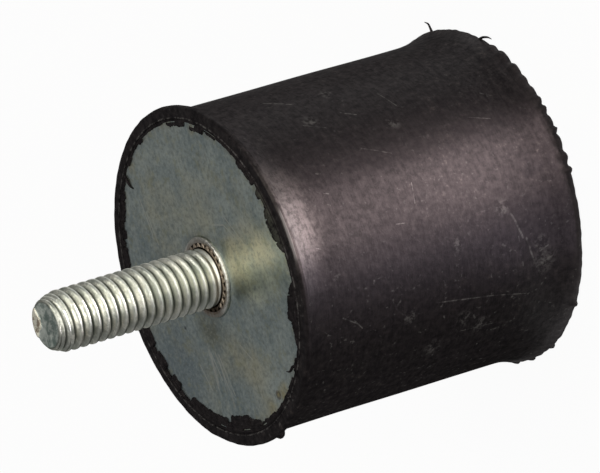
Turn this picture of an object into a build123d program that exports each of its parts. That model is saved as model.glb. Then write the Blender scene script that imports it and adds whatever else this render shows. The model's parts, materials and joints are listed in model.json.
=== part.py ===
"""Bobbin vibration mount: a rubber cylinder bonded between two steel plates, stud one end, tapped the other.

Frame: millimetres, +Z up. The mount stands on its tapped end, with the stud pointing up, and the origin is
the centre of the tapped end's face. Everything is turned about the Z axis, so each piece is a half section
drawn on the XZ plane and revolved. The rubber is moulded round the steel, so its section repeats the steel
pieces' own sizes wherever the two are bonded.
"""

import os

from build123d import *

# Rubber
height = 50.8  # between the outer faces of the two plates, 2 in
body_diameter = 50.8  # rubber between its two lips, 2 in
lip_overhang = 1.1  # each lip stands this far out from the body
lip_edge_radius = 0.5  # rounding of a lip's outer corner
stud_lip_thickness = 0.9  # land of the lip at the stud end, above the step down to the body
tapped_lip_thickness = 0.9  # land of the lip at the tapped end, below the flare
flare_length = 6.5  # hollow flare that runs from the body out to the tapped end's lip
plate_cover = 2.1  # rubber between a plate's edge and the outside of its lip

# Steel plates
plate_thickness = 3.0
plate_edge_radius = 0.35  # die roll round the face that shows
collar_width = 0.8  # ring swaged up round the stud's neck
collar_height = 0.6
collar_round = 0.35  # rounding of the collar's outer corner
collar_groove_offset = 0.45  # fine ring left by the swaging tool, out from the neck
collar_groove_radius = 0.12

# Stud, 3/8-16 UNC
thread_diameter = 9.42  # over the crests of a class 2A thread
stud_reach = 29.0  # from the plate's face to the tip
tip_taper_depth = 1.06  # the taper ends in a flat disc just under the thread's root
tip_taper_length = 2.6
tip_edge_radius = 0.3
neck_overhang = 0.69  # the serrated neck stands this far out from the thread's crests
neck_sink = 0.15  # the neck's shoulder lies this far below the top of the collar
neck_chamfer = 0.2
serration_count = 26
serration_depth = 0.55
serration_width = 0.8
head_overhang = 3.6  # the head in the rubber stands this far out from the neck
head_thickness = 3.2
head_chamfer = 0.8

# Threaded bush, 3/8-16 UNC
tap_diameter = 8.0  # wall of the hole, at the crests of the internal thread
tap_depth = 13.5  # straight wall and countersink, from the mouth
tap_countersink = 0.8  # 45 degree chamfer at the mouth
drill_point_height = 2.3  # cone left by the drill
bush_wall = 2.5  # round the hole, where the bush fills the plate
bush_overhang = 2.0  # the bush's body behind the plate stands this far out from its shank
bush_end_wall = 2.2  # metal left beyond the drill's point
bush_chamfer = 1.0

# Worked out from the sizes above
body_radius = body_diameter / 2
lip_radius = body_radius + lip_overhang
plate_radius = lip_radius - plate_cover
thread_radius = thread_diameter / 2
neck_radius = thread_radius + neck_overhang
collar_radius = neck_radius + collar_width
head_radius = neck_radius + head_overhang
tap_radius = tap_diameter / 2
bush_shank_radius = tap_radius + bush_wall
bush_radius = bush_shank_radius + bush_overhang
bush_length = tap_depth + drill_point_height + bush_end_wall
plate_back = height - plate_thickness
head_back = plate_back - head_thickness
collar_top = height + collar_height
neck_top = collar_top - neck_sink
tip_height = height + stud_reach

os.makedirs("parts", exist_ok=True)

# The rubber, moulded and bonded round the edges and backs of both plates
with BuildPart() as rubber_body:
    with BuildSketch(Plane.XZ):
        with BuildLine():
            base_ring = Line((plate_radius, 0), (lip_radius - lip_edge_radius, 0))
            base_corner = RadiusArc(base_ring @ 1, (lip_radius, lip_edge_radius), -lip_edge_radius)
            base_land = Line(base_corner @ 1, (lip_radius, tapped_lip_thickness))
            flare_start = (body_radius, tapped_lip_thickness + flare_length)
            TangentArc(flare_start, base_land @ 1, tangent=(0, -1))
            wall = Line(flare_start, (body_radius, height - stud_lip_thickness - lip_overhang))
            step = RadiusArc(wall @ 1, (lip_radius, height - stud_lip_thickness), lip_overhang)
            stud_land = Line(step @ 1, (lip_radius, height - lip_edge_radius))
            stud_ring_edge = (lip_radius - lip_edge_radius, height)
            RadiusArc(stud_land @ 1, stud_ring_edge, -lip_edge_radius)
            Polyline(
                stud_ring_edge,
                (plate_radius, height),
                (plate_radius, plate_back),
                (head_radius, plate_back),
                (head_radius, head_back + head_chamfer),
                (head_radius - head_chamfer, head_back),
                (0, head_back),
                (0, bush_length),
                (bush_radius - bush_chamfer, bush_length),
                (bush_radius, bush_length - bush_chamfer),
                (bush_radius, plate_thickness),
                (plate_radius, plate_thickness),
                base_ring @ 0,
            )
        make_face()
    revolve(axis=Axis.Z)

# The plate at the stud end, with the collar swaged up round the stud's neck
with BuildPart() as stud_plate:
    with BuildSketch(Plane.XZ):
        with BuildLine():
            Polyline(
                (neck_radius, plate_back),
                (plate_radius, plate_back),
                (plate_radius, height),
                (collar_radius, height),
                (collar_radius, collar_top),
                (neck_radius, collar_top),
                close=True,
            )
        make_face()
    revolve(axis=Axis.Z)
    rings = stud_plate.edges().filter_by(GeomType.CIRCLE)
    plate_rim = rings.filter_by_position(Axis.Z, height, height).sort_by(SortBy.RADIUS)[-1]
    fillet(plate_rim, plate_edge_radius)
    rings = stud_plate.edges().filter_by(GeomType.CIRCLE)
    collar_rim = rings.group_by(Axis.Z)[-1].sort_by(SortBy.RADIUS)[-1]
    fillet(collar_rim, collar_round)
    with BuildSketch(Plane.XZ):
        with Locations((neck_radius + collar_groove_offset, collar_top)):
            Circle(collar_groove_radius)
    revolve(axis=Axis.Z, mode=Mode.SUBTRACT)

# The stud: threaded shank, serrated neck in the plate, and a head held in the rubber behind it
with BuildPart() as stud:
    with BuildSketch(Plane.XZ):
        with BuildLine():
            Polyline(
                (0, head_back),
                (head_radius - head_chamfer, head_back),
                (head_radius, head_back + head_chamfer),
                (head_radius, plate_back),
                (neck_radius, plate_back),
                (neck_radius, neck_top - neck_chamfer),
                (neck_radius - neck_chamfer, neck_top),
                (thread_radius, neck_top),
                (thread_radius, tip_height - tip_taper_length),
                (thread_radius - tip_taper_depth, tip_height),
                (0, tip_height),
                close=True,
            )
        make_face()
    revolve(axis=Axis.Z)
    fillet(stud.edges().filter_by(GeomType.CIRCLE).group_by(Axis.Z)[-1], tip_edge_radius)
    with BuildSketch(Plane.XY.offset(neck_top)):
        with PolarLocations(neck_radius, serration_count):
            Polygon(
                (-serration_depth, 0),
                (neck_chamfer, -serration_width / 2),
                (neck_chamfer, serration_width / 2),
                align=None,
            )
    extrude(amount=plate_back - neck_top, mode=Mode.SUBTRACT)

# The plate at the tapped end
with BuildPart() as base_plate:
    with BuildSketch():
        Circle(plate_radius)
        Circle(bush_shank_radius, mode=Mode.SUBTRACT)
    extrude(amount=plate_thickness)
    base_rim = base_plate.edges().group_by(Axis.Z)[0].sort_by(SortBy.RADIUS)[-1]
    fillet(base_rim, plate_edge_radius)

# The threaded bush: its shank fills the base plate's hole, flush with the face, and its body is in the rubber
with BuildPart() as threaded_bush:
    with BuildSketch(Plane.XZ):
        with BuildLine():
            Polyline(
                (tap_radius + tap_countersink, 0),
                (bush_shank_radius, 0),
                (bush_shank_radius, plate_thickness),
                (bush_radius, plate_thickness),
                (bush_radius, bush_length - bush_chamfer),
                (bush_radius - bush_chamfer, bush_length),
                (0, bush_length),
                (0, tap_depth + drill_point_height),
                (tap_radius, tap_depth),
                (tap_radius, tap_countersink),
                close=True,
            )
        make_face()
    revolve(axis=Axis.Z)

pieces = {
    "rubber_body": rubber_body,
    "stud_plate": stud_plate,
    "stud": stud,
    "base_plate": base_plate,
    "threaded_bush": threaded_bush,
}
for name, piece in pieces.items():
    piece.part.label = name
    export_step(piece.part, f"parts/{name}.step")
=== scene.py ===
"""Looks of the bobbin vibration mount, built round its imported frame.

Lengths are in metres, apart from the tables and names that say mm. Angles about the Z axis are measured
clockwise from +X as seen from the stud's tip: degrees are in degrees, and angles are in radians.
"""
import json
import math

import bmesh
import bpy
import numpy as np
from mathutils import Matrix, Vector


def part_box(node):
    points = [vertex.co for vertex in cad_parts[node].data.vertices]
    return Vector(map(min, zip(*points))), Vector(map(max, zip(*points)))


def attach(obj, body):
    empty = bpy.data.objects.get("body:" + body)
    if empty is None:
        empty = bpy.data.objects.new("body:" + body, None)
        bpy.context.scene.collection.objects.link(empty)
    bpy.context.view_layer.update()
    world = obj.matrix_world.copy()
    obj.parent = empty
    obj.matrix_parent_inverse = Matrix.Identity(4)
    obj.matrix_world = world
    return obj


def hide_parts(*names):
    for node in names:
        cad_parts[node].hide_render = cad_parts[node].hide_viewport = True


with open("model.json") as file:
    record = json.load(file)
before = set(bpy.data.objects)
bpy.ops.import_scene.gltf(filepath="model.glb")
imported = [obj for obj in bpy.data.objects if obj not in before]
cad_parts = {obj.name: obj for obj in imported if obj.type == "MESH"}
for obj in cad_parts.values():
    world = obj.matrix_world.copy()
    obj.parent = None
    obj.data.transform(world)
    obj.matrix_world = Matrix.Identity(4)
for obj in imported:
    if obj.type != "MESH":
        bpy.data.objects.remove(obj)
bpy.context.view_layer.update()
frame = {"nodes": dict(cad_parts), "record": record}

MM = 0.001
TAU = 2 * math.pi

# ---------------------------------------------------------------- sizes from the frame
rubber_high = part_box("rubber_body")[1]
plate_low, plate_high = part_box("stud_plate")
stud_low, stud_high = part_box("stud")
base_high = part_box("base_plate")[1]
bush_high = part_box("threaded_bush")[1]
mounts = {mount["name"]: mount for mount in frame["record"]["mounts"]}

HEIGHT = rubber_high.z
LIP_RADIUS = rubber_high.x
PLATE_RADIUS = plate_high.x
PLATE_BACK = plate_low.z
COLLAR_TOP = plate_high.z
TIP = stud_high.z
HEAD_BACK = stud_low.z
HEAD_RADIUS = stud_high.x
BASE_TOP = base_high.z
BUSH_RADIUS = bush_high.x
BUSH_TOP = bush_high.z
THREAD_RADIUS = mounts["stud"]["dims"]["r_mm"] * MM
TAP_RADIUS = mounts["tapped_hole"]["dims"]["r_mm"] * MM

# ---------------------------------------------------------------- small sizes that no box gives
LIP_OVERHANG = 1.1 * MM
LIP_THICKNESS = 0.9 * MM
LIP_CORNER = 0.5 * MM
FLARE_LENGTH = 6.5 * MM
PLATE_EDGE = 0.35 * MM
NECK_RADIUS = THREAD_RADIUS + 0.69 * MM
NECK_TOP = COLLAR_TOP - 0.15 * MM
COLLAR_RADIUS = NECK_RADIUS + 0.8 * MM
COLLAR_BEAD = 0.3 * MM
SERRATIONS = 26
SERRATION_DEPTH = 0.55 * MM
HEAD_CHAMFER = 0.8 * MM
TAPER_LENGTH = 2.6 * MM
TAPER_DEPTH = 1.06 * MM
TIP_EDGE = 0.2 * MM
CHIP_DEPTH = 0.22 * MM
SHANK_RADIUS = TAP_RADIUS + 2.5 * MM
BUSH_CHAMFER = 1.0 * MM
TAP_DEPTH = 13.5 * MM
COUNTERSINK = 0.8 * MM
DRILL_POINT = 2.3 * MM
PITCH = 25.4 / 16 * MM
THREAD_DEPTH = 0.84 * MM

BODY_RADIUS = LIP_RADIUS - LIP_OVERHANG
END_RADIUS = THREAD_RADIUS - TAPER_DEPTH
# a low ridge of rubber round the plate, by the radius of its middle
RIM_RIDGE = PLATE_RADIUS + 0.3 * MM
RIDGE_HEIGHT = 0.14 * MM

# edges that bend by more than this stay sharp, and corners nearer than the gap become one
SHARP_DEGREES = 40
WELD_GAP = 1e-7


# ---------------------------------------------------------------- mesh helpers
def piece(name, shells, material, replaces=None):
    """One object made of closed (vertices, faces) shells, riding on the only body."""
    vertices, faces = [], []
    for shell_vertices, shell_faces in shells:
        start = len(vertices)
        vertices.extend(map(tuple, shell_vertices))
        faces.extend(tuple(start + k for k in face) for face in shell_faces)
    mesh = bpy.data.meshes.new(name)
    mesh.from_pydata(vertices, [], faces)
    bm = bmesh.new()
    bm.from_mesh(mesh)
    bmesh.ops.remove_doubles(bm, verts=bm.verts, dist=WELD_GAP)
    bmesh.ops.dissolve_degenerate(bm, edges=bm.edges, dist=WELD_GAP)
    bmesh.ops.recalc_face_normals(bm, faces=bm.faces)
    for face in bm.faces:
        face.smooth = True
    for edge in bm.edges:
        edge.smooth = len(edge.link_faces) == 2 and edge.calc_face_angle() < math.radians(SHARP_DEGREES)
    bm.to_mesh(mesh)
    bm.free()
    mesh.materials.append(material)
    thing = bpy.data.objects.new(name, mesh)
    bpy.context.scene.collection.objects.link(thing)
    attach(thing, "root")
    if replaces:
        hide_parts(replaces)


def ring(angles, radius, height):
    """Points at clockwise angles about Z. Radius and height are one number, or one for each angle."""
    radius, height = radius + 0 * angles, height + 0 * angles
    return np.stack([radius * np.cos(angles), -radius * np.sin(angles), height], axis=1)


def ring_faces(rows, columns, seam_drop=0):
    """Quads between stacked rings. At a seam the last column meets the first one seam_drop rows down."""
    faces = []
    for j in range(rows - 1):
        low, high = j * columns, (j + 1) * columns
        for i in range(columns - 1):
            faces.append((low + i, low + i + 1, high + i + 1, high + i))
        first_low, first_high = (max(k - seam_drop, 0) * columns for k in (j, j + 1))
        faces.append((low + columns - 1, first_low, first_high, high + columns - 1))
    return faces


def turned(section, columns, shape):
    """A section of (radius, height) points turned about Z. shape(degrees, radius, height) moves them."""
    angles = np.arange(columns) * TAU / columns
    rings = []
    for radius, height in section:
        r, z = radius + 0 * angles, height + 0 * angles
        if radius > 0:
            r, z = shape(np.degrees(angles), r, z)
        rings.append(ring(angles, r, z))
    return np.concatenate(rings), ring_faces(len(section), columns)


def threaded(before, after, low, high, radius_at, columns, rows_per_turn):
    """A right-hand thread between two heights, with sections of (radius, height) points before and after it.

    Its rows climb with the helix, so every crest is an unbroken edge. radius_at(phase, height) gives the
    surface, with a crest at each whole phase. A radius or height in a section may be one for each column.
    """
    angles = np.arange(columns) * TAU / columns
    rows = rows_per_turn * (math.ceil((high - low) / PITCH) + 1)
    rings = [ring(angles, radius, height) for radius, height in before]
    for j in range(rows + 1):
        z = np.clip(low + PITCH * (j / rows_per_turn - angles / TAU), low, high)
        phase = (z - low) / PITCH + angles / TAU
        rings.append(ring(angles, radius_at(phase, z), z))
    rings += [ring(angles, radius, height) for radius, height in after]
    faces = ring_faces(len(before) + 1, columns)
    bottom, top = len(before) * columns, (len(before) + rows) * columns
    faces += [tuple(bottom + k for k in face) for face in ring_faces(rows + 1, columns, rows_per_turn)]
    faces += [tuple(top + k for k in face) for face in ring_faces(len(after) + 1, columns)]
    return np.concatenate(rings), faces


def strand(points, radius, height, widths, sides=8):
    """A closed, tapering thread of rubber along a smooth line, with a width in mm at each of its points.

    The points are (degrees, mm past the radius, mm above the height).
    """
    points = np.array([place(at, radius + past * MM, height + above * MM) for at, past, above in points])
    widths = np.array(widths) * MM
    steps = np.linspace(0, len(points) - 1, 6 * (len(points) - 1) + 1)
    knots = np.arange(len(points))
    path = np.stack([np.interp(steps, knots, points[:, k]) for k in range(3)], axis=1)
    for _ in range(3):
        path[1:-1] = (path[:-2] + 2 * path[1:-1] + path[2:]) / 4
    radii = np.interp(steps, knots, widths) / 2
    along = np.gradient(path, axis=0)
    along /= np.linalg.norm(along, axis=1)[:, None]
    side = np.cross(along, (0.31, 0.45, 0.84))
    side /= np.linalg.norm(side, axis=1)[:, None]
    other = np.cross(along, side)
    turn = np.arange(sides) * TAU / sides
    rings = [path[:1].repeat(sides, axis=0)]
    for middle, reach, u, v in zip(path, radii, side, other):
        rings.append(middle + reach * (np.outer(np.cos(turn), u) + np.outer(np.sin(turn), v)))
    rings.append(path[-1:].repeat(sides, axis=0))
    return np.concatenate(rings), ring_faces(len(rings), sides)


def place(degrees, radius, height):
    """The point at a clockwise angle about Z."""
    return (radius * math.cos(math.radians(degrees)), -radius * math.sin(math.radians(degrees)), height)


def arc(centre, radius, start, end, steps):
    """Points of an arc in the section plane, from one angle in degrees to another."""
    turn = np.radians(np.linspace(start, end, steps + 1))
    return [(centre[0] + radius * math.cos(t), centre[1] + radius * math.sin(t)) for t in turn]


def run(start, end, steps):
    """Evenly spaced points between two points of a section, both ends left out."""
    start, end = np.array(start), np.array(end)
    return [tuple(start + (end - start) * k / steps) for k in range(1, steps)]


def waves(degrees, seed, orders, size):
    """A smooth closed ripple round the axis: sines of seeded phase that share the size between them."""
    source = np.random.default_rng(seed)
    total = 0 * degrees
    for order in orders:
        total = total + source.uniform(0.5, 1) * np.sin(order * np.radians(degrees) + source.uniform(0, TAU))
    return total * size / math.sqrt(len(orders))


def away(degrees, centre):
    """Signed distance in degrees round the axis."""
    return (degrees - centre + 180) % 360 - 180


def bump(degrees, centre, half_width):
    """A rounded hump of height 1 round the axis."""
    return np.clip(1 - (away(degrees, centre) / half_width) ** 2, 0, None)


# ---------------------------------------------------------------- material helpers
class Nodes:
    """Short calls that add shader nodes to one material and link them."""

    def __init__(self, name):
        self.material = bpy.data.materials.new(name)
        self.material.use_nodes = True
        self.tree = self.material.node_tree
        self.shader = self.tree.nodes["Principled BSDF"]
        self.position = self.tree.nodes.new("ShaderNodeTexCoord").outputs["Object"]

    def add(self, kind, inputs=(), **settings):
        node = self.tree.nodes.new("ShaderNode" + kind)
        for key, value in settings.items():
            setattr(node, key, value)
        for key, value in dict(inputs).items():
            self.give(node.inputs[key], value)
        return node

    def give(self, socket, value):
        """Sets a socket, or links it if the value is another node's output."""
        if isinstance(value, bpy.types.NodeSocket):
            self.tree.links.new(value, socket)
        else:
            socket.default_value = value

    def set(self, **inputs):
        """Gives values or links to the shader's sockets, with _ for a space in their names."""
        for key, value in inputs.items():
            self.give(self.shader.inputs[key.replace("_", " ")], value)

    def math(self, operation, a, b=0.0):
        node = self.add("Math", operation=operation)
        for socket, value in zip(node.inputs, (a, b)):
            self.give(socket, value)
        return node.outputs[0]

    def stretched(self, scale):
        """The object's position, scaled along each axis."""
        return self.add("Mapping", {"Vector": self.position, "Scale": scale}).outputs[0]

    def noise(self, scale, detail, roughness, vector=None):
        """Noise from 0 to 1. The scale is in features to a metre."""
        inputs = {"Vector": vector or self.position, "Scale": scale, "Detail": detail, "Roughness": roughness}
        return self.add("TexNoise", inputs).outputs["Fac"]

    def ramp(self, value, low, high, low_to=0.0, high_to=1.0):
        """Maps low..high to low_to..high_to with smooth ends, and holds the ends outside."""
        inputs = {"Value": value, "From Min": low, "From Max": high, "To Min": low_to, "To Max": high_to}
        return self.add("MapRange", inputs, interpolation_type="SMOOTHSTEP").outputs[0]

    def mix(self, factor, a, b):
        """Colour a where the factor is 0 and b where it is 1."""
        node = self.add("Mix", data_type="RGBA")
        self.give(node.inputs["Factor"], factor)
        self.give(node.inputs["A"], a if isinstance(a, bpy.types.NodeSocket) else (*a, 1))
        self.give(node.inputs["B"], b if isinstance(b, bpy.types.NodeSocket) else (*b, 1))
        return node.outputs["Result"]

    def spot(self, centre, radius, edge):
        """1 within a radius of a point of the object, falling to 0 over the edge's width."""
        gap = self.add("VectorMath", {0: self.position, 1: centre}, operation="DISTANCE").outputs["Value"]
        return self.ramp(gap, radius, radius + edge, 1.0, 0.0)

    def line(self, start, end, width):
        """1 along a straight stretch between two points of the object, falling to 0 at half the width."""
        way = Vector(end) - Vector(start)
        from_start = self.add("VectorMath", {0: self.position, 1: start}, operation="SUBTRACT").outputs[0]
        reach = self.add("VectorMath", {0: from_start, 1: way}, operation="DOT_PRODUCT").outputs["Value"]
        share = self.add("Clamp", {"Value": self.math("DIVIDE", reach, way.length_squared)}).outputs[0]
        nearest = self.add("VectorMath", {0: way, "Scale": share}, operation="SCALE").outputs[0]
        gap = self.add("VectorMath", {0: from_start, 1: nearest}, operation="DISTANCE").outputs["Value"]
        return self.ramp(gap, 0.2 * width, 0.5 * width, 1.0, 0.0)

    def dots(self, scale, size, share):
        """Scattered round specks: a share of a grid's cells hold one each, of a size measured in cells."""
        cells = self.add("TexVoronoi", {"Vector": self.position, "Scale": scale})
        chosen = self.ramp(cells.outputs["Color"], 1 - share, 1.001 - share)
        return self.times(chosen, self.ramp(cells.outputs["Distance"], 0.5 * size, size, 1.0, 0.0))

    def cracks(self, scale, width, mask, low, high):
        """Short bent scratches: the borders of a grid of cells, kept where a mask passes from low to high."""
        cells = self.add("TexVoronoi", {"Vector": self.position, "Scale": scale}, feature="DISTANCE_TO_EDGE")
        thin = self.ramp(cells.outputs["Distance"], 0.3 * width, width, 1.0, 0.0)
        return self.times(thin, self.ramp(mask, low, high))

    def chain(self, operation, values):
        """Several values joined in turn by one operation."""
        total = values[0]
        for value in values[1:]:
            total = self.math(operation, total, value)
        return total

    def times(self, *values):
        return self.chain("MULTIPLY", values)

    def plus(self, *values):
        return self.chain("ADD", values)

    def most(self, *values):
        """The greatest of several values."""
        return self.chain("MAXIMUM", values)

    def polar(self):
        """(radius from Z, height, anticlockwise turn about Z from -0.5 to 0.5) of the surface."""
        x, y, z = self.add("SeparateXYZ", {0: self.position}).outputs
        radius = self.math("SQRT", self.plus(self.times(x, x), self.times(y, y)))
        return radius, z, self.math("DIVIDE", self.math("ARCTAN2", y, x), TAU)

    def bumped(self, height, distance, strength, below=None):
        """A bump normal from a height of 0 to 1 that stands for the distance, on top of the one below."""
        node = self.add("Bump", {"Height": height, "Distance": distance, "Strength": strength})
        if below is not None:
            self.give(node.inputs["Normal"], below)
        return node.outputs[0]


# (angle and height at each end, width in mm) of the longer scratches on the rubber's side
RUBBER_SCRATCHES = (
    ((122, 26.5), (126, 16.0), 0.28), ((126, 16.0), (129.5, 9.5), 0.22), ((117, 43.5), (120.5, 41.0), 0.3),
    ((119, 41.5), (123, 40.0), 0.25), ((108.5, 9.6), (117, 8.6), 0.45), ((114.6, 7.4), (113.2, 5.8), 0.3),
    ((74, 41.6), (74.6, 40.9), 0.3), ((90.5, 46.8), (91.8, 45.4), 0.3), ((91, 31.6), (91.5, 30.2), 0.25),
    ((137, 22.0), (138.5, 14.5), 0.2), ((46, 38.0), (50, 35.0), 0.18), ((62, 12.5), (65, 9.0), 0.2),
    ((27, 39.6), (34, 36.0), 0.3), ((41, 23.0), (49, 22.0), 0.25), ((62, 32.0), (67, 27.7), 0.2),
    ((45, 31.0), (48, 29.0), 0.3), ((120, 8.0), (116.5, 4.2), 0.4), ((99, 11.6), (108, 10.2), 0.5),
    ((107, 11.0), (118, 10.5), 0.2), ((54, 8.0), (63, 2.6), 0.2), ((79, 26.8), (86, 27.5), 0.15),
    ((66.5, 41.2), (67, 40.6), 0.45), ((108.3, 14), (109, 13.6), 0.5), ((84, 4.6), (84.6, 4.4), 0.5),
    ((129, 12.3), (129.8, 12.0), 0.5), ((132, 19.3), (133.2, 19.0), 0.5), ((107.3, 37.5), (108.6, 37.6), 0.5),
    ((89.8, 17.3), (90.3, 17.0), 0.4),
)
# (angle, height in mm, width of the soft edge in mm) of the dusty spots on the rubber's side
RUBBER_DUST = (
    (118, 6.6, 2.4), (112, 7.2, 1.6), (132, 21.0, 1.6), (124, 31.5, 1.4), (137, 17.5, 1.5), (141, 26.0, 1.6),
    (104, 22.0, 1.2), (96, 13.0, 1.3), (45, 36.5, 1.2), (56, 24.5, 1.0), (33, 30.0, 1.1),
)


def rubber_material():
    """Moulded black rubber: a soft sheen, drag marks round the axis, dust, specks, scuffs and scratches, with
    painted highlights on the lip and a painted glint on the ridge round the plate.
    """
    m = Nodes("black_rubber")
    radius, height, turn = m.polar()
    around = m.add("CombineXYZ", {"X": m.times(turn, 0.02), "Y": 0.0, "Z": height}).outputs[0]
    streaks = m.noise(2600, 3, 0.65, around)
    cloud = m.noise(70, 4, 0.6)
    mottle = m.noise(1000, 5, 0.72)
    grain = m.noise(1500, 4, 0.65)
    tone = m.plus(m.times(mottle, 0.72), m.times(streaks, 0.28))
    colour = m.mix(m.ramp(tone, 0.36, 0.64), (0.0050, 0.0045, 0.0052), (0.0170, 0.0146, 0.0154))
    dust = m.times(m.ramp(mottle, 0.58, 0.72), m.ramp(cloud, 0.42, 0.62))
    colour = m.mix(dust, colour, (0.045, 0.038, 0.035))

    # the lip's edge is rubbed, and painted lighter where the highlight band crosses it, a painted highlight;
    # a flap of the film has lifted
    on_side = m.most(
        m.ramp(height, HEIGHT - 0.3 * MM, HEIGHT - 0.1 * MM, 1.0, 0.0),
        m.ramp(radius, LIP_RADIUS - 0.4 * MM, LIP_RADIUS - 0.25 * MM),
    )
    scuff_and_highlight = m.most(*(m.spot(place(degrees, BODY_RADIUS, HEIGHT), 2.5 * MM, 6 * MM) for degrees in (72, 84)))
    scuff_and_highlight = m.times(scuff_and_highlight, on_side, m.ramp(tone, 0.36, 0.60, 0.3, 1.0))
    # painted highlight: the rubbed patch is lightened where the highlight band lies on the lip
    colour = m.mix(m.times(scuff_and_highlight, 0.6), colour, (0.060, 0.052, 0.048))
    flap = m.spot(place(76, PLATE_RADIUS - 0.6 * MM, HEIGHT), 4.0 * MM, 2.0 * MM)
    on_film = m.ramp(height, HEIGHT + 0.08 * MM, HEIGHT + 0.14 * MM)
    lifted = m.times(flap, on_film, m.ramp(mottle, 0.38, 0.56))
    colour = m.mix(m.times(lifted, 0.8), colour, (0.044, 0.046, 0.036))

    # pale marks on the side, and a painted highlight on the lip's corner and a painted glint on the ridge by
    # the film
    scratched_side = m.ramp(turn, -0.27, -0.31, 0.35, 1.0)
    cracks = m.times(scratched_side, m.cracks(240, 0.05, grain, 0.56, 0.68))
    scratches = m.most(*(
        m.line(place(start, BODY_RADIUS, low * MM), place(end, BODY_RADIUS, high * MM), width * MM)
        for (start, low), (end, high), width in RUBBER_SCRATCHES
    ))
    scratches = m.times(scratches, m.ramp(mottle, 0.42, 0.60, 0.1, 0.9))
    specks = m.most(m.dots(330, 0.09, 0.18), m.dots(800, 0.16, 0.07))
    specks = m.times(specks, m.ramp(cloud, 0.38, 0.56), scratched_side)
    dusted = m.most(*(
        m.spot(place(degrees, BODY_RADIUS, up * MM), 0.4 * MM, soft * MM) for degrees, up, soft in RUBBER_DUST
    ))
    dusted = m.times(dusted, m.ramp(mottle, 0.46, 0.62, 0.0, 0.5))
    # painted highlight: a pale line along the lip's rounded corner, where the light catches it
    corner_highlight = m.times(
        m.spot(place(84, LIP_RADIUS, HEIGHT), 2.5 * MM, 2.5 * MM),
        m.ramp(radius, LIP_RADIUS - 0.2 * MM, LIP_RADIUS - 0.12 * MM),
        m.ramp(height, HEIGHT - 0.52 * MM, HEIGHT - 0.44 * MM),
    )
    # the corner's painted highlight joins the pale specks here
    specks = m.most(specks, dusted, corner_highlight)
    # painted glint: the top of the ridge round the plate is painted pale where it catches the light
    ridge_glint = m.times(
        m.ramp(height, HEIGHT + 0.03 * MM, HEIGHT + 0.06 * MM),
        m.ramp(mottle, 0.44, 0.62),
        m.ramp(radius, RIM_RIDGE - 0.2 * MM, RIM_RIDGE - 0.1 * MM, 0.0, 0.5),
        m.math("SUBTRACT", 1.0, flap),
    )
    pale = m.most(m.times(cracks, 0.5), m.times(scratches, 0.7), m.times(specks, 0.9), ridge_glint)
    colour = m.mix(m.times(pale, 0.8), colour, (0.16, 0.155, 0.15))

    facing = m.add("LayerWeight", {"Blend": 0.5}).outputs["Facing"]
    sheen = m.plus(
        m.ramp(tone, 0.35, 0.65, 0.058, 0.082),
        m.times(scuff_and_highlight, 0.11),
        m.ramp(height, 0.5 * MM, 3.5 * MM, 0.12, 0.0),
        m.times(corner_highlight, 0.5),
    )
    m.set(
        Base_Color=colour,
        Roughness=m.plus(m.ramp(tone, 0.3, 0.7, 0.48, 0.38), m.ramp(facing, 0.35, 0.8, 0.0, 0.45)),
        Specular_IOR_Level=sheen,
        Specular_Tint=(1.0, 0.84, 0.86, 1),
        Normal=m.bumped(streaks, 0.03 * MM, 0.35, m.bumped(grain, 0.05 * MM, 0.9)),
    )
    return m.material


# (x and y at each end, width) in mm of the longer scratches on the stud plate's face
PLATE_SCRATCHES = (
    ((-11.3, 5.7), (-15.6, 4.7), 0.4), ((-11.3, 4.5), (-17.4, 3.4), 0.35),
    ((-11.8, 3.6), (-18.3, 2.3), 0.4), ((-11.2, -3.5), (-13.8, -5.9), 0.35),
    ((-12.5, 10.1), (-16.7, 8.6), 0.3), ((7.3, -5.9), (6.8, -9.0), 0.35),
    ((6.8, -9.0), (4.5, -11.4), 0.35), ((8.2, -9.7), (3.0, -13.6), 0.3),
    ((14.2, 13.4), (8.5, 12.7), 0.35), ((12.1, 12.6), (6.8, 11.8), 0.3),
)
OLIVE = (0.56, 0.53, 0.37)
# painted reflection: the colour of the stud's bright reflection in the plate
STUD_REFLECTION_GOLD = (0.88, 0.81, 0.62)
YELLOW = (0.56, 0.47, 0.22)
RUST = (0.13, 0.09, 0.05)
# painted shadow: the colour of the stud's shadow on the plate
STUD_SHADOW_PAINT = (0.19, 0.19, 0.13)
SHADE = (0.25, 0.31, 0.34)
BLACK = (0.02, 0.02, 0.02)
# painted reflection: a paler colour of the stud's reflection in the plate
STUD_REFLECTION_PALE = (0.78, 0.82, 0.66)
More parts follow.
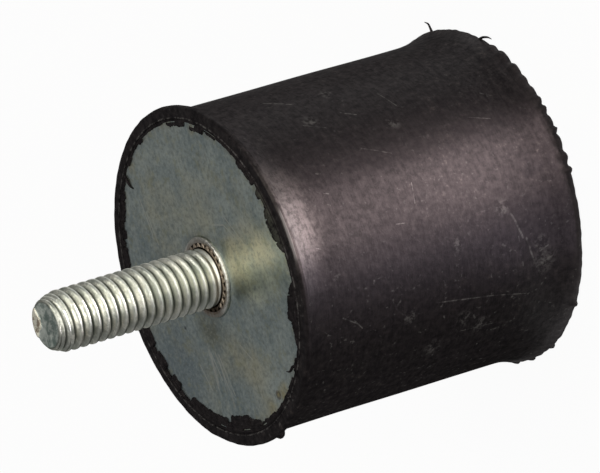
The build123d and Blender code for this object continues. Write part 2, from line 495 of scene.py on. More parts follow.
# (x, y, radius, width of the soft edge in mm, strength, colour) of the stains on the stud plate's face, and
# of painted light on it: the stud's reflection and its shadow
PLATE_STAINS_AND_PAINTED_LIGHT = (
    (9.8, -1.9, 2.0, 6.0, 0.45, OLIVE), (-12.2, 0.3, 2.0, 4.0, 0.5, OLIVE),
    (-15.4, -5.7, 1.5, 4.0, 0.5, OLIVE),
    # painted reflection: these gold rows and the pale rows below paint the stud's reflection as a band on the
    # -Y side of the collar
    (1.8, -10.0, 1.2, 4.2, 0.75, STUD_REFLECTION_GOLD), (2.0, -14.5, 1.2, 4.6, 0.7, STUD_REFLECTION_GOLD), (1.5, -19.5, 1.2, 4.6, 0.6, STUD_REFLECTION_GOLD),
    (-3.4, -12.2, 1.2, 3.6, 0.9, STUD_REFLECTION_PALE), (-3.6, -16.5, 0.8, 3.4, 0.5, STUD_REFLECTION_PALE),
    (-1.8, -9.5, 1.0, 3.0, 0.5, OLIVE), (5.5, 9.5, 1.5, 5.0, 0.4, OLIVE), (12.0, 6.0, 1.0, 5.0, 0.35, OLIVE),
    (-11.7, 16.1, 3.0, 8.0, 0.9, SHADE), (-2.4, -14.5, 0.5, 3.0, 0.35, SHADE),
    # painted shadow: the stud's shadow on the plate, just past the collar on the -X side
    (-7.2, 3.8, 1.0, 4.4, 0.75, STUD_SHADOW_PAINT),
    (-19.8, -12.6, 0.7, 1.5, 0.8, YELLOW), (-21.8, -7.4, 0.5, 1.5, 0.6, YELLOW),
    (21.9, -7.8, 0.3, 1.2, 0.5, YELLOW), (19.2, 13.0, 0.3, 1.2, 0.5, YELLOW),
    (-19.9, -10.4, 0.55, 0.35, 1.0, RUST), (-19.9, -10.4, 0.15, 0.3, 0.9, YELLOW),
    (-6.5, 11.2, 0.16, 0.25, 1.0, BLACK),
)


def plate_material():
    """Zinc-plated steel sheet: blue-grey-green with olive and brown stains, rolled grain and scratches, and
    painted reflection and shade.
    """
    m = Nodes("plated_sheet_steel")
    radius, height = m.polar()[:2]
    cloud = m.noise(55, 5, 0.62)
    blotch = m.noise(300, 5, 0.68)
    speckle = m.noise(1300, 4, 0.7)
    fleck = m.noise(620, 4, 0.7)
    tone = m.plus(m.times(cloud, 0.55), m.times(blotch, 0.45))
    colour = m.mix(m.ramp(tone, 0.38, 0.62), (0.32, 0.39, 0.40), (0.50, 0.56, 0.53))
    warm = m.noise(60, 5, 0.68, m.stretched((1.0, 1.3, 1.0)))
    colour = m.mix(m.ramp(warm, 0.50, 0.70, 0.0, 0.6), colour, (0.56, 0.54, 0.39))

    # stains, among them a painted reflection and a painted shadow of the stud, the dull edge, the collar's
    # foot darkened as painted shade, and fine specks all over
    uneven = m.ramp(blotch, 0.35, 0.6, 0.4, 1.0)
    for x, y, reach, soft, strength, stain_and_painted_light in PLATE_STAINS_AND_PAINTED_LIGHT:
        mark = m.spot((x * MM, y * MM, HEIGHT), reach * MM, soft * MM)
        colour = m.mix(m.times(mark, strength, uneven), colour, stain_and_painted_light)
    edge = m.times(m.ramp(radius, PLATE_RADIUS - 2.2 * MM, PLATE_RADIUS), m.ramp(blotch, 0.4, 0.6))
    colour = m.mix(m.times(edge, 0.5), colour, (0.20, 0.17, 0.10))
    # painted shade: the plate darkened in the crease round the collar's foot
    foot = m.ramp(radius, COLLAR_RADIUS, COLLAR_RADIUS + 1.6 * MM, 0.35, 0.0)
    colour = m.mix(m.times(foot, m.ramp(cloud, 0.35, 0.6)), colour, (0.13, 0.115, 0.08))
    colour = m.mix(m.ramp(speckle, 0.48, 0.64, 0.0, 0.42), colour, (0.17, 0.19, 0.17))
    colour = m.mix(m.ramp(speckle, 0.50, 0.34, 0.0, 0.30), colour, (0.72, 0.76, 0.66))
    colour = m.mix(m.ramp(fleck, 0.52, 0.66, 0.0, 0.42), colour, (0.42, 0.42, 0.26))

    # the swaged collar, brown inside and bright outside
    beaded = m.plus(radius, m.ramp(blotch, 0.35, 0.65, -0.2 * MM, 0.2 * MM))
    outer_bead = m.ramp(beaded, NECK_RADIUS + 0.25 * MM, NECK_RADIUS + 0.5 * MM)
    swaged = m.mix(outer_bead, (0.46, 0.38, 0.32), (0.74, 0.73, 0.67))
    swaged = m.mix(m.ramp(speckle, 0.48, 0.62, 0.0, 0.55), swaged, (0.30, 0.27, 0.22))
    # greyer at 0 degrees; dark brown at 190 degrees, the side away from the light, a painted shade
    for degrees, strength, stain_and_painted_light in ((0, 0.6, (0.36, 0.35, 0.31)), (190, 0.7, (0.12, 0.09, 0.06))):
        mark = m.spot(place(degrees, NECK_RADIUS, HEIGHT), 2 * MM, 2.5 * MM)
        swaged = m.mix(m.times(mark, strength), swaged, stain_and_painted_light)
    colour = m.mix(m.ramp(height, HEIGHT + 0.04 * MM, HEIGHT + 0.14 * MM), colour, swaged)

    # rolled grain, and scratches across it
    grain = m.noise(900, 3, 0.6, m.stretched((1.0, 0.12, 1.0)))
    hatch = m.noise(800, 4, 0.7, m.stretched((0.12, 1.0, 1.0)))
    scratched_patch = m.spot((-14.5 * MM, 3.5 * MM, HEIGHT), 3 * MM, 5 * MM)
    hatched = m.times(m.ramp(hatch, 0.56, 0.66), m.plus(m.times(scratched_patch, 0.7), 0.2))
    scored = m.most(*(
        m.line((a * MM, b * MM, HEIGHT), (c * MM, d * MM, HEIGHT), width * MM)
        for (a, b), (c, d), width in PLATE_SCRATCHES
    ))
    scored = m.times(scored, m.ramp(speckle, 0.35, 0.55, 0.2, 1.0))
    scratches = m.most(hatched, scored)
    colour = m.mix(m.times(scratches, 0.6), colour, (0.72, 0.72, 0.64))
    m.set(
        Base_Color=colour,
        Metallic=1.0,
        Roughness=m.ramp(tone, 0.3, 0.7, 0.28, 0.38),
        Normal=m.bumped(grain, 0.01 * MM, 0.35, m.bumped(scratches, 0.01 * MM, 0.3)),
    )
    return m.material


def stud_material():
    """Bright plated stud: yellowish silver on the crests, dull grey-green towards the roots, darkened there
    by grime and painted shade, with a painted highlight on the sheared end.
    """
    m = Nodes("plated_stud_steel")
    radius, height = m.polar()[:2]
    cloud = m.noise(420, 4, 0.6)
    wear = m.noise(1500, 5, 0.72)
    patch = m.noise(700, 5, 0.72)

    # the thread: painted dark in its roots, as grime and as painted shade, and clean above them and on the
    # ridges of the taper
    root = THREAD_RADIUS - THREAD_DEPTH
    cone = m.ramp(height, TIP - TAPER_LENGTH, TIP, THREAD_RADIUS, END_RADIUS)
    ridge = m.ramp(m.math("SUBTRACT", cone, radius), 0.03 * MM, 0.12 * MM, 1.0, 0.1)
    on_taper = m.ramp(height, TIP - 0.7 * TAPER_LENGTH, TIP - 0.5 * TAPER_LENGTH, 0.0, 0.85)
    clear_of_grime_and_shade = m.most(m.ramp(radius, root, root + 0.32 * MM), m.times(ridge, on_taper))
    bright = m.mix(m.ramp(cloud, 0.35, 0.65), (0.64, 0.66, 0.60), (0.92, 0.91, 0.82))
    # painted light: the worn patches fade towards the neck, so the neck half is painted lighter
    wear_fade_painted_light = m.ramp(height, NECK_TOP + 2 * MM, TIP - 6 * MM, 0.15, 1.0)
    worn = m.times(m.ramp(wear, 0.46, 0.60, 0.55, 0.0), wear_fade_painted_light)
    bright = m.mix(worn, bright, (0.42, 0.44, 0.38))
    thread = m.mix(clear_of_grime_and_shade, (0.12, 0.13, 0.11), bright)

    # the neck, with its pit round the thread painted almost black, a painted shade
    below_thread = m.ramp(height, NECK_TOP + 0.05 * MM, NECK_TOP + 0.2 * MM, 1.0, 0.0)
    pit_shade = m.most(
        m.ramp(radius, THREAD_RADIUS + 0.02 * MM, THREAD_RADIUS + 0.08 * MM, 1.0, 0.0),
        m.ramp(height, NECK_TOP - 0.35 * MM, NECK_TOP - 0.05 * MM, 1.0, 0.0),
    )
    # painted shade: the neck darker still at 188 degrees, on the side away from the light
    mouth_shade = m.spot(place(188, NECK_RADIUS, NECK_TOP), 1.6 * MM, 1.6 * MM)
    neck = m.mix(pit_shade, (0.50, 0.42, 0.34), (0.022, 0.015, 0.011))
    neck = m.mix(m.times(mouth_shade, 0.85), neck, (0.05, 0.035, 0.025))

    # the sheared end: a shiny step, painted near white as a painted highlight, torn metal and a dark rim
    on_end = m.times(
        m.ramp(height, TIP - 0.34 * MM, TIP - 0.28 * MM),
        m.ramp(radius, END_RADIUS - 0.15 * MM, END_RADIUS - 0.05 * MM, 1.0, 0.0),
    )
    torn = m.mix(m.ramp(patch, 0.40, 0.60), (0.22, 0.27, 0.25), (0.58, 0.62, 0.58))
    # painted highlight: the step's near-white colour stands in for the light it catches
    step_and_highlight = m.mix(m.ramp(patch, 0.42, 0.54), (0.42, 0.35, 0.27), (0.95, 0.93, 0.80))
    sheared = m.mix(m.ramp(height, TIP - CHIP_DEPTH * 0.9, TIP - CHIP_DEPTH * 0.5), torn, step_and_highlight)
    rim = m.ramp(radius, END_RADIUS - 0.30 * MM, END_RADIUS - 0.18 * MM, 0.0, 0.5)
    end = m.mix(rim, sheared, (0.16, 0.17, 0.15))
    m.set(
        Base_Color=m.mix(on_end, m.mix(below_thread, thread, neck), end),
        Metallic=1.0,
        Roughness=m.plus(m.ramp(cloud, 0.3, 0.7, 0.28, 0.42), m.times(on_end, 0.22)),
        Specular_Tint=(0.22, 0.23, 0.22, 1),
        Normal=m.bumped(wear, 0.06 * MM, 0.95),
    )
    return m.material


def bush_material():
    """Machined and plated bush, with fine turning marks."""
    m = Nodes("plated_bush_steel")
    radius, height = m.polar()[:2]
    cloud = m.noise(260, 4, 0.6)
    marks = m.noise(3200, 1, 0.5, m.add("CombineXYZ", {"X": radius, "Z": height}).outputs[0])
    m.set(
        Base_Color=m.mix(m.ramp(cloud, 0.35, 0.65), (0.42, 0.42, 0.38), (0.55, 0.55, 0.49)),
        Metallic=1.0,
        Roughness=m.ramp(cloud, 0.3, 0.7, 0.28, 0.40),
        Normal=m.bumped(marks, 0.015 * MM, 0.5),
    )
    return m.material


# ---------------------------------------------------------------- rubber
RUBBER_COLUMNS = 512
# the lip's step is a slope on the side that faces the camera
SLOPE_LENGTH = 5.0 * MM
SLOPE_MIDDLE = 78
SLOPE_HALF_WIDTH = 55
# heights over which the near lip is ragged and the far lip is beaded
RAGGED_HEIGHT = 1.2 * MM
BEADED_HEIGHT = 1.5 * MM
BEAD_GROWTH = 1.25
# degrees by which the side's waves lean in a metre of height
SWAY_LEAN = 2000
# (middle, half width, height in mm) of each lump of flash rolled on the tapped end's lip
LIP_BEADS = (
    (37, 2.5, 0.35), (43, 4.0, 0.5), (50, 3.0, 0.45), (55, 2.0, 0.35), (61, 2.5, 0.3), (64.5, 1.6, 0.5),
    (68, 1.5, 0.55), (72.5, 2.2, 0.4), (76, 1.0, 0.7), (80, 2.6, 0.45), (85.5, 2.0, 0.5), (90, 1.3, 0.6),
    (139, 1.2, 0.35), (163, 1.4, 0.4), (177, 1.2, 0.4), (187, 1.2, 0.4),
)


def rubber_section():
    """The rubber's half section: the stud's pocket, the outside and the pocket of the base and the bush."""
    step_foot = HEIGHT - LIP_THICKNESS - LIP_OVERHANG
    flare_top = LIP_THICKNESS + FLARE_LENGTH
    flare_radius = (LIP_OVERHANG**2 + FLARE_LENGTH**2) / (2 * LIP_OVERHANG)
    flare_turn = math.degrees(math.asin(FLARE_LENGTH / flare_radius))
    corner = LIP_RADIUS - LIP_CORNER
    return [
        (0, HEAD_BACK),
        (HEAD_RADIUS - HEAD_CHAMFER, HEAD_BACK),
        (HEAD_RADIUS, HEAD_BACK + HEAD_CHAMFER),
        (HEAD_RADIUS, PLATE_BACK),
        (PLATE_RADIUS, PLATE_BACK),
        (PLATE_RADIUS, HEIGHT),
        (RIM_RIDGE - 0.2 * MM, HEIGHT - 0.05 * MM),
        (RIM_RIDGE - 0.05 * MM, HEIGHT + RIDGE_HEIGHT),
        (RIM_RIDGE + 0.05 * MM, HEIGHT + RIDGE_HEIGHT),
        (RIM_RIDGE + 0.2 * MM, HEIGHT),
        *run((RIM_RIDGE + 0.2 * MM, HEIGHT), (corner, HEIGHT), 4),
        *arc((corner, HEIGHT - LIP_CORNER), LIP_CORNER, 90, 0, 6),
        *run((LIP_RADIUS, HEIGHT - LIP_CORNER), (LIP_RADIUS, HEIGHT - LIP_THICKNESS), 3),
        *arc((LIP_RADIUS, step_foot), LIP_OVERHANG, 90, 180, 8),
        *run((BODY_RADIUS, step_foot), (BODY_RADIUS, flare_top), 48),
        *arc((BODY_RADIUS + flare_radius, flare_top), flare_radius, 180, 180 + flare_turn, 14),
        *run((LIP_RADIUS, LIP_THICKNESS), (LIP_RADIUS, LIP_CORNER), 3),
        *arc((corner, LIP_CORNER), LIP_CORNER, 0, -90, 6),
        *run((corner, 0), (PLATE_RADIUS, 0), 6),
        (PLATE_RADIUS, 0),
        (PLATE_RADIUS, BASE_TOP),
        (BUSH_RADIUS, BASE_TOP),
        (BUSH_RADIUS, BUSH_TOP - BUSH_CHAMFER),
        (BUSH_RADIUS - BUSH_CHAMFER, BUSH_TOP),
        (0, BUSH_TOP),
    ]


def rubber_shape(degrees, radius, height):
    """Moulding unevenness of the outside, the slope in place of the lip's step, and the far lip's beads."""
    outside = np.clip((radius - PLATE_RADIUS) / (BODY_RADIUS - PLATE_RADIUS), 0, 1)
    sway = waves(degrees + SWAY_LEAN * height, 3, (2, 3, 5, 8), 0.05 * MM)
    sway = sway + waves(degrees, 4, (13, 21, 34), 0.02 * MM)
    lip = np.clip(1 - (HEIGHT - height) / RAGGED_HEIGHT, 0, 1)
    ragged = waves(degrees, 5, (9, 17, 29, 47, 71), 0.07 * MM) * lip
    foot = np.clip(1 - height / BEADED_HEIGHT, 0, 1)
    beads = sum(BEAD_GROWTH * size * MM * bump(degrees, middle, half) for middle, half, size in LIP_BEADS)
    rough = waves(degrees, 6, (11, 23, 41, 67, 97), 0.09 * MM)
    slope = np.clip(1 - (HEIGHT - LIP_THICKNESS - height) / SLOPE_LENGTH, 0, 1) ** 2
    slope = slope * (height < HEIGHT - 0.5 * LIP_THICKNESS)
    sloped = BODY_RADIUS + LIP_OVERHANG * bump(degrees, SLOPE_MIDDLE, SLOPE_HALF_WIDTH) * slope
    radius = np.where(radius > BODY_RADIUS - 0.1 * MM, np.maximum(radius, sloped), radius)
    return radius + outside * (sway + ragged + foot * (beads + rough)), height


# ---------------------------------------------------------------- flash film on the stud plate
FILM_COLUMNS = 1080
FILM_ROWS = 30
FILM_THICKNESS = 0.2 * MM
FILM_LEAST_REACH_MM = 0.25
# widths of its rounded inner edge and of its slope down to the rubber, and how far both go below the face
FILM_ROUNDING = 0.25 * MM
FILM_FALL = 0.35 * MM
FILM_SINK = 0.04 * MM
# degrees by which the waves in its thickness lean in a metre of radius
FILM_LEAN = 3e4
# (from, to, reach at each end in mm from the plate's edge) of the rubber that crept over the plate's face
FILM_FLAPS = (
    (3, 15.5, 0.95, 1.1), (19, 28, 1.35, 1.15), (28, 36, 0.6, 0.85), (36, 50, 0.45, 0.55), (50, 62, 1.1, 1.0),
    (64.5, 68, 1.35, 1.3), (68, 72, 0.7, 0.8), (72, 75.5, 1.4, 2.2), (75.5, 85, 2.3, 1.9),
    (85, 89.5, 1.8, 0.5), (100, 105, 0.5, 2.0), (105, 115.5, 2.1, 2.8), (115.5, 124, 1.8, 0.4),
    (129, 135, 0.65, 0.4),
    (138, 152, 0.55, 0.75), (152, 160, 0.7, 0.7), (160, 172, 0.95, 1.0), (172, 180, 1.3, 2.3),
    (180, 194, 2.8, 2.7), (194, 196.5, 1.5, 1.6), (196.5, 222, 2.1, 1.9), (222, 229.5, 0.6, 0.8),
    (229.5, 236, 1.75, 1.7), (236, 240, 0.8, 0.9), (240, 248, 1.8, 1.6), (248, 250.5, 0.9, 0.95),
    (250.5, 290, 1.8, 1.7), (290, 293, 1.2, 1.2), (293, 297, 1.7, 1.75), (297, 300, 1.1, 1.1),
    (300, 309, 1.5, 1.4), (309, 313, 1.2, 1.1), (313, 320, 0.7, 0.6), (325, 330, 0.7, 0.65),
    (330, 339, 0.4, 0.4), (339, 342.5, 0.8, 0.75), (342.5, 360, 0.35, 0.5),
)
# (from, to, distance from the plate's edge and half width in mm) of the film's splits, which show bare metal
FILM_SPLITS = (
    (168, 173.5, 0.45, 0.11), (181, 187, 0.55, 0.11), (198, 203, 0.5, 0.11), (2, 10, 0.3, 0.09),
    (57, 60, 0.35, 0.1), (15.3, 23, 0.5, 0.30), (28, 36, 0.25, 0.08),
)


def film_reach(degrees):
    """How far in mm the film reaches in from the plate's edge, ragged where it is wide."""
    reach = 0 * degrees + FILM_LEAST_REACH_MM
    for start, end, first, last in FILM_FLAPS:
        share = np.clip((degrees - start) / (end - start), 0, 1)
        inside = np.clip(np.minimum(degrees - start, end - degrees) / 0.8 + 0.5, 0, 1)
        reach = np.maximum(reach, inside * (first + (last - first) * share))
    ragged = waves(degrees, 11, (53, 71, 97, 131), 0.13) + waves(degrees, 12, (167, 211, 263), 0.08)
    return reach + ragged * np.clip(reach, 0.1, 1.0)


def film_shells():
    """The film as a low ragged blanket on the plate's face, sunk into the rubber's ring at its outer edge."""
    angles = np.arange(FILM_COLUMNS) * TAU / FILM_COLUMNS
    degrees = np.degrees(angles)
    outer = PLATE_RADIUS + 0.1 * MM
    inner = np.minimum(PLATE_RADIUS - film_reach(degrees) * MM, outer - 0.2 * MM)
    rings = []
    for share in np.arange(FILM_ROWS + 1) / FILM_ROWS:
        radius = inner + (outer - inner) * share
        rounding = (radius - inner) / FILM_ROUNDING
        lift = np.sqrt(np.clip(rounding * (2 - rounding), 0, 1) * (rounding < 1) + (rounding >= 1))
        thick = FILM_THICKNESS * (1 + waves(degrees + FILM_LEAN * radius, 13, (7, 19, 37, 61), 0.35))
        fall = np.clip((outer - radius) / FILM_FALL, 0, 1)
        z = HEIGHT - FILM_SINK + (thick + FILM_SINK) * lift * fall
        for start, end, depth, half in FILM_SPLITS:
            across = np.abs(radius - (PLATE_RADIUS - depth * MM)) / (half * MM)
            along = np.clip(np.minimum(degrees - start, end - degrees) / 0.5, 0, 1)
            z = z - (z - HEIGHT + FILM_SINK) * np.clip(1.6 - across, 0, 1) * along
        rings.append(ring(angles, radius, z))
    back_height = HEIGHT - 0.12 * MM
    rings += [ring(angles, outer, back_height), ring(angles, inner, back_height)]
    faces = ring_faces(len(rings), FILM_COLUMNS)
    back = (len(rings) - 1) * FILM_COLUMNS
    for i in range(FILM_COLUMNS):
        after = (i + 1) % FILM_COLUMNS
        faces.append((back + i, back + after, after, i))
    on_face = HEIGHT + 0.08 * MM
    sliver = strand(
        ((319.5, -0.3, 0), (319, -1.2, 0.1), (318, -2.0, 0), (318.4, -2.9, 0)),
        PLATE_RADIUS, on_face, (0.5, 0.45, 0.35, 0.08),
    )
    leaning = strand(
        ((132.5, -0.3, 0), (134, -0.9, 0), (137, -1.2, 0), (138.6, -2.0, 0)),
        PLATE_RADIUS, on_face, (0.4, 0.45, 0.35, 0.1),
    )
    return [(np.concatenate(rings), faces), sliver, leaning]


# ---------------------------------------------------------------- loose flash on the rims
def rim_flash_shells():
    """Hairs and a nub torn from the mould's joint at the two lips."""
    low = 0.5 * MM
    hooked = strand(
        ((1, -0.3, 0), (0.6, 0.6, 0), (0.2, 1.3, 0), (359, 1.7, 0.2)),
        LIP_RADIUS, low, (0.5, 0.35, 0.3, 0.12),
    )
    leaning = strand(
        ((29, -0.3, 0), (31, 0.5, 0), (34, 1.1, 0), (36, 1.2, 0)),
        LIP_RADIUS, low, (0.5, 0.4, 0.3, 0.1),
    )
    nub = strand(
        ((172, -0.3, 0), (172, 0.5, 0), (172, 1.0, 0), (172, 1.3, 0)),
        BODY_RADIUS, HEIGHT - 2.2 * MM, (1.8, 1.7, 1.3, 0.5), sides=14,
    )
    return [hooked, leaning, nub]


# ---------------------------------------------------------------- steel
PLATE_COLUMNS = 416


def plate_section():
    """The stud plate's half section, from its hole's back edge round to the collar's two beads."""
    edge = PLATE_RADIUS - PLATE_EDGE
    middle = COLLAR_RADIUS + 0.1 * MM - COLLAR_BEAD
    top = COLLAR_TOP - COLLAR_BEAD
    return [
        (NECK_RADIUS, PLATE_BACK),
        (PLATE_RADIUS, PLATE_BACK),
        *run((PLATE_RADIUS, PLATE_BACK), (PLATE_RADIUS, HEIGHT - PLATE_EDGE), 4),
        *arc((edge, HEIGHT - PLATE_EDGE), PLATE_EDGE, 0, 90, 5),
        *run((edge, HEIGHT), (COLLAR_RADIUS + 0.45 * MM, HEIGHT), 12),
        *arc((COLLAR_RADIUS + 0.3 * MM, HEIGHT - 0.1 * MM), 0.15 * MM, 45, 135, 4),
        (middle + COLLAR_BEAD, HEIGHT),
        *arc((middle, top), COLLAR_BEAD, 0, 150, 10),
        (NECK_RADIUS + 0.12 * MM, COLLAR_TOP - 0.16 * MM),
        (NECK_RADIUS, COLLAR_TOP - 0.22 * MM),
        (NECK_RADIUS, PLATE_BACK),
    ]


def plate_shape(degrees, radius, height):
    """Hand-made unevenness of the swaged collar."""
    collar = np.clip((height - HEIGHT) / (COLLAR_TOP - HEIGHT), 0, 1)
    outer = np.clip((radius - NECK_RADIUS) / (0.6 * MM), 0, 1)
    wander = waves(degrees, 21, (2, 3, 5, 9), 0.05 * MM) * outer
    dents = waves(degrees, 22, (5, 11, 26, 41), 0.045 * MM)
    hammered = 0.45 * (1 - bump(degrees, 95, 85)) * outer
    return radius + collar * wander, height + collar * (dents - hammered * (height - HEIGHT))


SERRATION_COLUMNS = 8
STUD_COLUMNS = SERRATIONS * SERRATION_COLUMNS
STUD_ROWS_PER_TURN = 14
BUSH_COLUMNS = 144
BUSH_ROWS_PER_TURN = 12
# where the thread fades at the neck, and the share of its depth that is cut there
FADE_LENGTH = 1.3 * MM
FADED_SHARE = 0.2
FOLDS_PER_TURN = 2.4
# the side of the stud's end where the shear left its step
SHEAR_TURN = math.radians(300)


def thread_cut(phase):
    """Depth of a rolled 60 degree thread below its crest, as a share. Crest and root are rounded."""
    from_crest = np.abs((phase + 0.5) % 1 - 0.5)
    share = np.clip((from_crest - 0.10) / 0.37, 0, 1)
    return share - 0.30 * np.sin(TAU * share) / TAU


def stud_radius(phase, height):
    """The stud's rolled thread, which fades at the neck and runs into the folded taper at the tip."""
    fade = np.clip((height - NECK_TOP) / FADE_LENGTH, 0, 1)
    thread = THREAD_RADIUS - THREAD_DEPTH * (fade * thread_cut(phase) + (1 - fade) * FADED_SHARE)
    along = np.clip((height - TIP + TAPER_LENGTH) / TAPER_LENGTH, 0, 1)
    groove = 1 - np.abs(np.sin(math.pi * phase * FOLDS_PER_TURN)) ** 0.6
    folds = (0.05 - 0.19 * groove) * MM * np.clip(along * 3, 0, 1)
    cone = THREAD_RADIUS - TAPER_DEPTH * along + folds
    return np.minimum(thread, cone)


def stud_shell():
    """The stud in one shell: head, serrated neck, rolled thread and tip."""
    angles = np.arange(STUD_COLUMNS) * TAU / STUD_COLUMNS
    tooth = np.abs((np.arange(STUD_COLUMNS) / SERRATION_COLUMNS + 0.5) % 1 - 0.5) * 2
    uneven = 1 + waves(np.degrees(angles), 31, (3, 5, 7, 11), 0.25)
    neck = NECK_RADIUS - SERRATION_DEPTH * np.clip(uneven * (1.6 - 2.2 * tooth), 0, 1)
    lip = np.maximum(neck - 0.1 * MM, THREAD_RADIUS + 0.09 * MM)
    before = [
        (0, HEAD_BACK),
        (HEAD_RADIUS - HEAD_CHAMFER, HEAD_BACK),
        (HEAD_RADIUS, HEAD_BACK + HEAD_CHAMFER),
        (HEAD_RADIUS, PLATE_BACK),
        (neck, PLATE_BACK),
        (neck, NECK_TOP - 0.1 * MM),
        (lip, NECK_TOP),
        (THREAD_RADIUS + 0.08 * MM, NECK_TOP),
        (THREAD_RADIUS + 0.06 * MM, NECK_TOP - 0.2 * MM),
        (THREAD_RADIUS - 0.04 * MM, NECK_TOP - 0.2 * MM),
    ]
    edge = arc((END_RADIUS - TIP_EDGE, TIP - TIP_EDGE), TIP_EDGE, 20, 90, 4)
    after = [(radius, height - TIP + end_height(angles, radius)) for radius, height in edge]
    after += [(END_RADIUS * k, end_height(angles, END_RADIUS * k)) for k in np.linspace(0.9, 0, 25)]
    thread_end = TIP - TIP_EDGE - CHIP_DEPTH
    return threaded(before, after, NECK_TOP, thread_end, stud_radius, STUD_COLUMNS, STUD_ROWS_PER_TURN)


def end_height(angles, radius):
    """The cropped end of the stud: a step left by the shear on one side, and the rest torn a little lower."""
    across = radius * np.cos(angles - SHEAR_TURN)
    along = radius * np.sin(angles - SHEAR_TURN)
    edge = 1.3 * MM + 1.6 * np.clip(along - 0.4 * MM, 0, None) + 0.6 * np.clip(-along - 1.2 * MM, 0, None)
    edge = edge + 0.16 * MM * np.sin(along / (0.35 * MM))
    step = np.clip((across - edge) / (0.5 * MM) + 0.5, 0, 1)
    rough = np.sin(across / (0.33 * MM)) * np.sin(along / (0.41 * MM)) * 0.05 * MM
    return TIP - CHIP_DEPTH * (1 - step) + (rough - 0.05 * MM) * np.clip(1 - radius / (3.4 * MM), 0, 1)


def tap_radius(phase, height):
    """The bush's tapped hole, opened by the countersink at its mouth."""
    cut = THREAD_DEPTH * 0.85 * thread_cut(phase + 0.5)
    fade = np.clip((TAP_DEPTH - height) / (2 * PITCH), 0, 1)
    mouth = TAP_RADIUS + COUNTERSINK - height
    return np.maximum(TAP_RADIUS + cut * fade, mouth)


def bush_shell():
    """The threaded bush in one shell, from its inner end over the outside to the mouth, and up the hole."""
    before = [
        (0, BUSH_TOP),
        (BUSH_RADIUS - BUSH_CHAMFER, BUSH_TOP),
        (BUSH_RADIUS, BUSH_TOP - BUSH_CHAMFER),
        (BUSH_RADIUS, BASE_TOP),
        (SHANK_RADIUS, BASE_TOP),
        (SHANK_RADIUS, 0.2 * MM),
        (SHANK_RADIUS - 0.2 * MM, 0),
    ]
    after = [(TAP_RADIUS, TAP_DEPTH), (0, TAP_DEPTH + DRILL_POINT)]
    return threaded(before, after, 0, TAP_DEPTH, tap_radius, BUSH_COLUMNS, BUSH_ROWS_PER_TURN)


# ---------------------------------------------------------------- the object
rubber = rubber_material()
moulding = turned(rubber_section(), RUBBER_COLUMNS, rubber_shape)
piece("rubber_moulding", [moulding], rubber, "rubber_body")
piece("flash_film", film_shells(), rubber)
piece("rim_flash", rim_flash_shells(), rubber)
sheet_steel = plate_material()
end_plate = turned(plate_section(), PLATE_COLUMNS, plate_shape)
piece("stud_end_plate", [end_plate], sheet_steel, "stud_plate")
frame["nodes"]["base_plate"].data.materials.clear()
frame["nodes"]["base_plate"].data.materials.append(sheet_steel)
piece("serrated_stud", [stud_shell()], stud_material(), "stud")
piece("tapped_bush", [bush_shell()], bush_material(), "threaded_bush")


# ---------------------------------------------------------------- camera
CAMERA_ELEVATION = math.radians(30.28)
CAMERA_ROLL = math.radians(-106.57)
CAMERA_DISTANCE_MM = 934.5
LENS_MM = 372
SENSOR_MM = 36
# how far the middle of the picture lies right of and above the middle of the stud plate's face
AIM_RIGHT_MM = 13.9
AIM_UP_MM = 6.1


def make_camera():
    """A long lens from 30 degrees above, rolled so that the stud points left and down."""
    back = Vector((0, -math.cos(CAMERA_ELEVATION), math.sin(CAMERA_ELEVATION)))
    level = Vector((1, 0, 0))
    rise = Vector((0, math.sin(CAMERA_ELEVATION), math.cos(CAMERA_ELEVATION)))
    right = math.cos(CAMERA_ROLL) * level + math.sin(CAMERA_ROLL) * rise
    up = back.cross(right)
    data = bpy.data.cameras.new("camera")
    data.lens, data.sensor_width = LENS_MM, SENSOR_MM
    data.clip_start, data.clip_end = 0.05, 10
    camera = bpy.data.objects.new("camera", data)
    centre = Vector((0, 0, HEIGHT)) + right * AIM_RIGHT_MM * MM + up * AIM_UP_MM * MM
    turn = Matrix((right, up, back)).transposed().to_4x4()
    camera.matrix_world = Matrix.Translation(centre + back * CAMERA_DISTANCE_MM * MM) @ turn
    bpy.context.scene.collection.objects.link(camera)
    bpy.context.scene.camera = camera


# ---------------------------------------------------------------- light and floor
FLOOR_DROP = 0.2 * MM
FLOOR_REACH = 4
# (near end, far end in mm from the rubber, share of the radiance) of the strips that make a set of low cards
CARD_STRIPS = ((2, 12, 0.4), (12, 40, 1.0), (40, 90, 1.0))


def lamp(name, place_at, aim, width, height, radiance, colour=(1, 1, 1)):
    """A soft rectangular lamp of the given radiance, hidden from the camera."""
    data = bpy.data.lights.new(name, "AREA")
    data.shape, data.size, data.size_y = "RECTANGLE", width, height
    data.energy = radiance * math.pi * width * height
    data.color = colour
    light = bpy.data.objects.new(name, data)
    light.location = place_at
    light.rotation_euler = (Vector(aim) - Vector(place_at)).to_track_quat("-Z", "Y").to_euler()
    light.visible_camera = False
    bpy.context.scene.collection.objects.link(light)
    return light


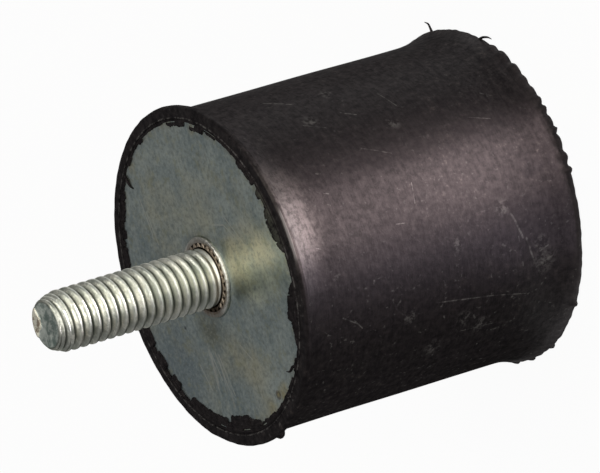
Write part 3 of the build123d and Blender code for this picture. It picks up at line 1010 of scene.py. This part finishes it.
def make_floor():
    """A pale floor just under the object, white to the camera and in reflections, with a faint shadow.

    From below it is clear, so the object's underside can be seen.
    """
    mesh = bpy.data.meshes.new("floor")
    far = FLOOR_REACH
    corners = [(-far, -far), (far, -far), (far, far), (-far, far)]
    mesh.from_pydata([(x, y, -FLOOR_DROP) for x, y in corners], [], [(0, 1, 2, 3)])
    floor = bpy.data.objects.new("floor", mesh)
    bpy.context.scene.collection.objects.link(floor)
    material = bpy.data.materials.new("white_floor")
    material.use_nodes = True
    tree = material.node_tree
    tree.nodes.clear()
    new, link = tree.nodes.new, tree.links.new
    output, mix = new("ShaderNodeOutputMaterial"), new("ShaderNodeMixShader")
    paint, glow, path = new("ShaderNodeBsdfDiffuse"), new("ShaderNodeEmission"), new("ShaderNodeLightPath")
    paint.inputs["Color"].default_value = (0.86, 0.86, 0.86, 1)
    glow.inputs["Strength"].default_value = 1.0
    seen = path.outputs["Is Camera Ray"]
    for kind in ("Is Glossy Ray", "Is Transmission Ray"):
        either = new("ShaderNodeMath")
        either.operation = "MAXIMUM"
        link(seen, either.inputs[0])
        link(path.outputs[kind], either.inputs[1])
        seen = either.outputs[0]
    share = new("ShaderNodeMath")
    share.operation = "MULTIPLY"
    share.inputs[1].default_value = 0.95
    link(seen, share.inputs[0])
    link(share.outputs[0], mix.inputs[0])
    link(paint.outputs[0], mix.inputs[1])
    link(glow.outputs[0], mix.inputs[2])
    one_sided = new("ShaderNodeMixShader")
    link(new("ShaderNodeNewGeometry").outputs["Backfacing"], one_sided.inputs[0])
    link(mix.outputs[0], one_sided.inputs[1])
    link(new("ShaderNodeBsdfTransparent").outputs[0], one_sided.inputs[2])
    link(one_sided.outputs[0], output.inputs["Surface"])
    mesh.materials.append(material)


def make_world():
    """An even grey surround."""
    world = bpy.data.worlds.new("studio")
    world.use_nodes = True
    background = world.node_tree.nodes["Background"]
    background.inputs["Color"].default_value = (0.22, 0.22, 0.22, 1)
    bpy.context.scene.world = world


def low_cards(name, turn, spread, radiance, colour):
    """Cards just over the floor, mirrored by the rubber's wall where it faces the turn, or near to that.

    The turn and the spread to each side of it are in degrees from -Y towards +X. The cards are seen in gloss
    alone, so the level of light on plain colours stays as the other lamps set it.
    """
    turn, spread = math.radians(turn), math.radians(spread)
    foot = Vector((math.sin(turn), -math.cos(turn), 0)) * BODY_RADIUS
    away_from_wall = Vector((math.sin(2 * turn), -math.cos(2 * turn), 0))
    for k, (near, far, share) in enumerate(CARD_STRIPS):
        distance = (near + far) / 2 * MM
        middle = foot + away_from_wall * distance + Vector((0, 0, MM))
        width = 2 * math.sin(spread) * BODY_RADIUS + 2 * math.sin(2 * spread) * distance
        card = lamp(f"{name}_card_{k}", middle, middle, width, (far - near) * MM, radiance * share, colour)
        card.rotation_euler = (math.pi, 0, 2 * turn)
        card.visible_diffuse = False


def make_flag():
    """A black mat beside the object, seen in gloss alone, for the dark side of the studio."""
    mesh = bpy.data.meshes.new("flag")
    corners = [(-1500, -700), (-27, -60), (-27, 200), (-1500, 900)]
    mesh.from_pydata([(x * MM, y * MM, 2 * MM) for x, y in corners], [], [(0, 1, 2, 3)])
    flag = bpy.data.objects.new("flag", mesh)
    bpy.context.scene.collection.objects.link(flag)
    material = bpy.data.materials.new("black_felt")
    material.use_nodes = True
    felt = material.node_tree.nodes["Principled BSDF"]
    felt.inputs["Base Color"].default_value = (0.12, 0.12, 0.12, 1)
    felt.inputs["Specular IOR Level"].default_value = 0
    mesh.materials.append(material)
    flag.visible_camera = False
    flag.visible_diffuse = False
    flag.visible_shadow = False


make_camera()
make_floor()
make_world()
lamp("front", (0.22, -0.84, 0.46), (0, 0, 0.05), 1.5, 1.0, 1.42, (1.0, 0.97, 0.88))
lamp("side", (0.50, 0.0, 0.87), (0, 0, 0.05), 0.35, 0.35, 4.0, (1.0, 0.96, 0.86))
lamp("overhead", (0, 0, 1.0), (0, 0, 0), 0.8, 0.8, 0.8)
glint = lamp("glint", (0.03, -0.72, 0.75), (0, 0, 0.06), 0.2, 0.2, 5.0, (0.90, 0.94, 1.0))
glint.visible_diffuse = False
low_cards("warm", 7.5, 11.5, 30, (1.0, 0.90, 0.88))
low_cards("cool", -9, 15, 7, (0.90, 0.84, 1.0))
far_turn = math.radians(22)
far_place = Vector((math.sin(far_turn), -math.cos(far_turn), 0)) * 0.128 + Vector((0, 0, MM))
far_card = lamp("far_card", far_place, far_place, 0.09, 0.06, 1.0, (1.0, 0.98, 0.92))
far_card.rotation_euler = (math.pi, 0, far_turn)
far_card.visible_diffuse = False
make_flag()
bpy.context.scene.view_settings.view_transform = "Standard"
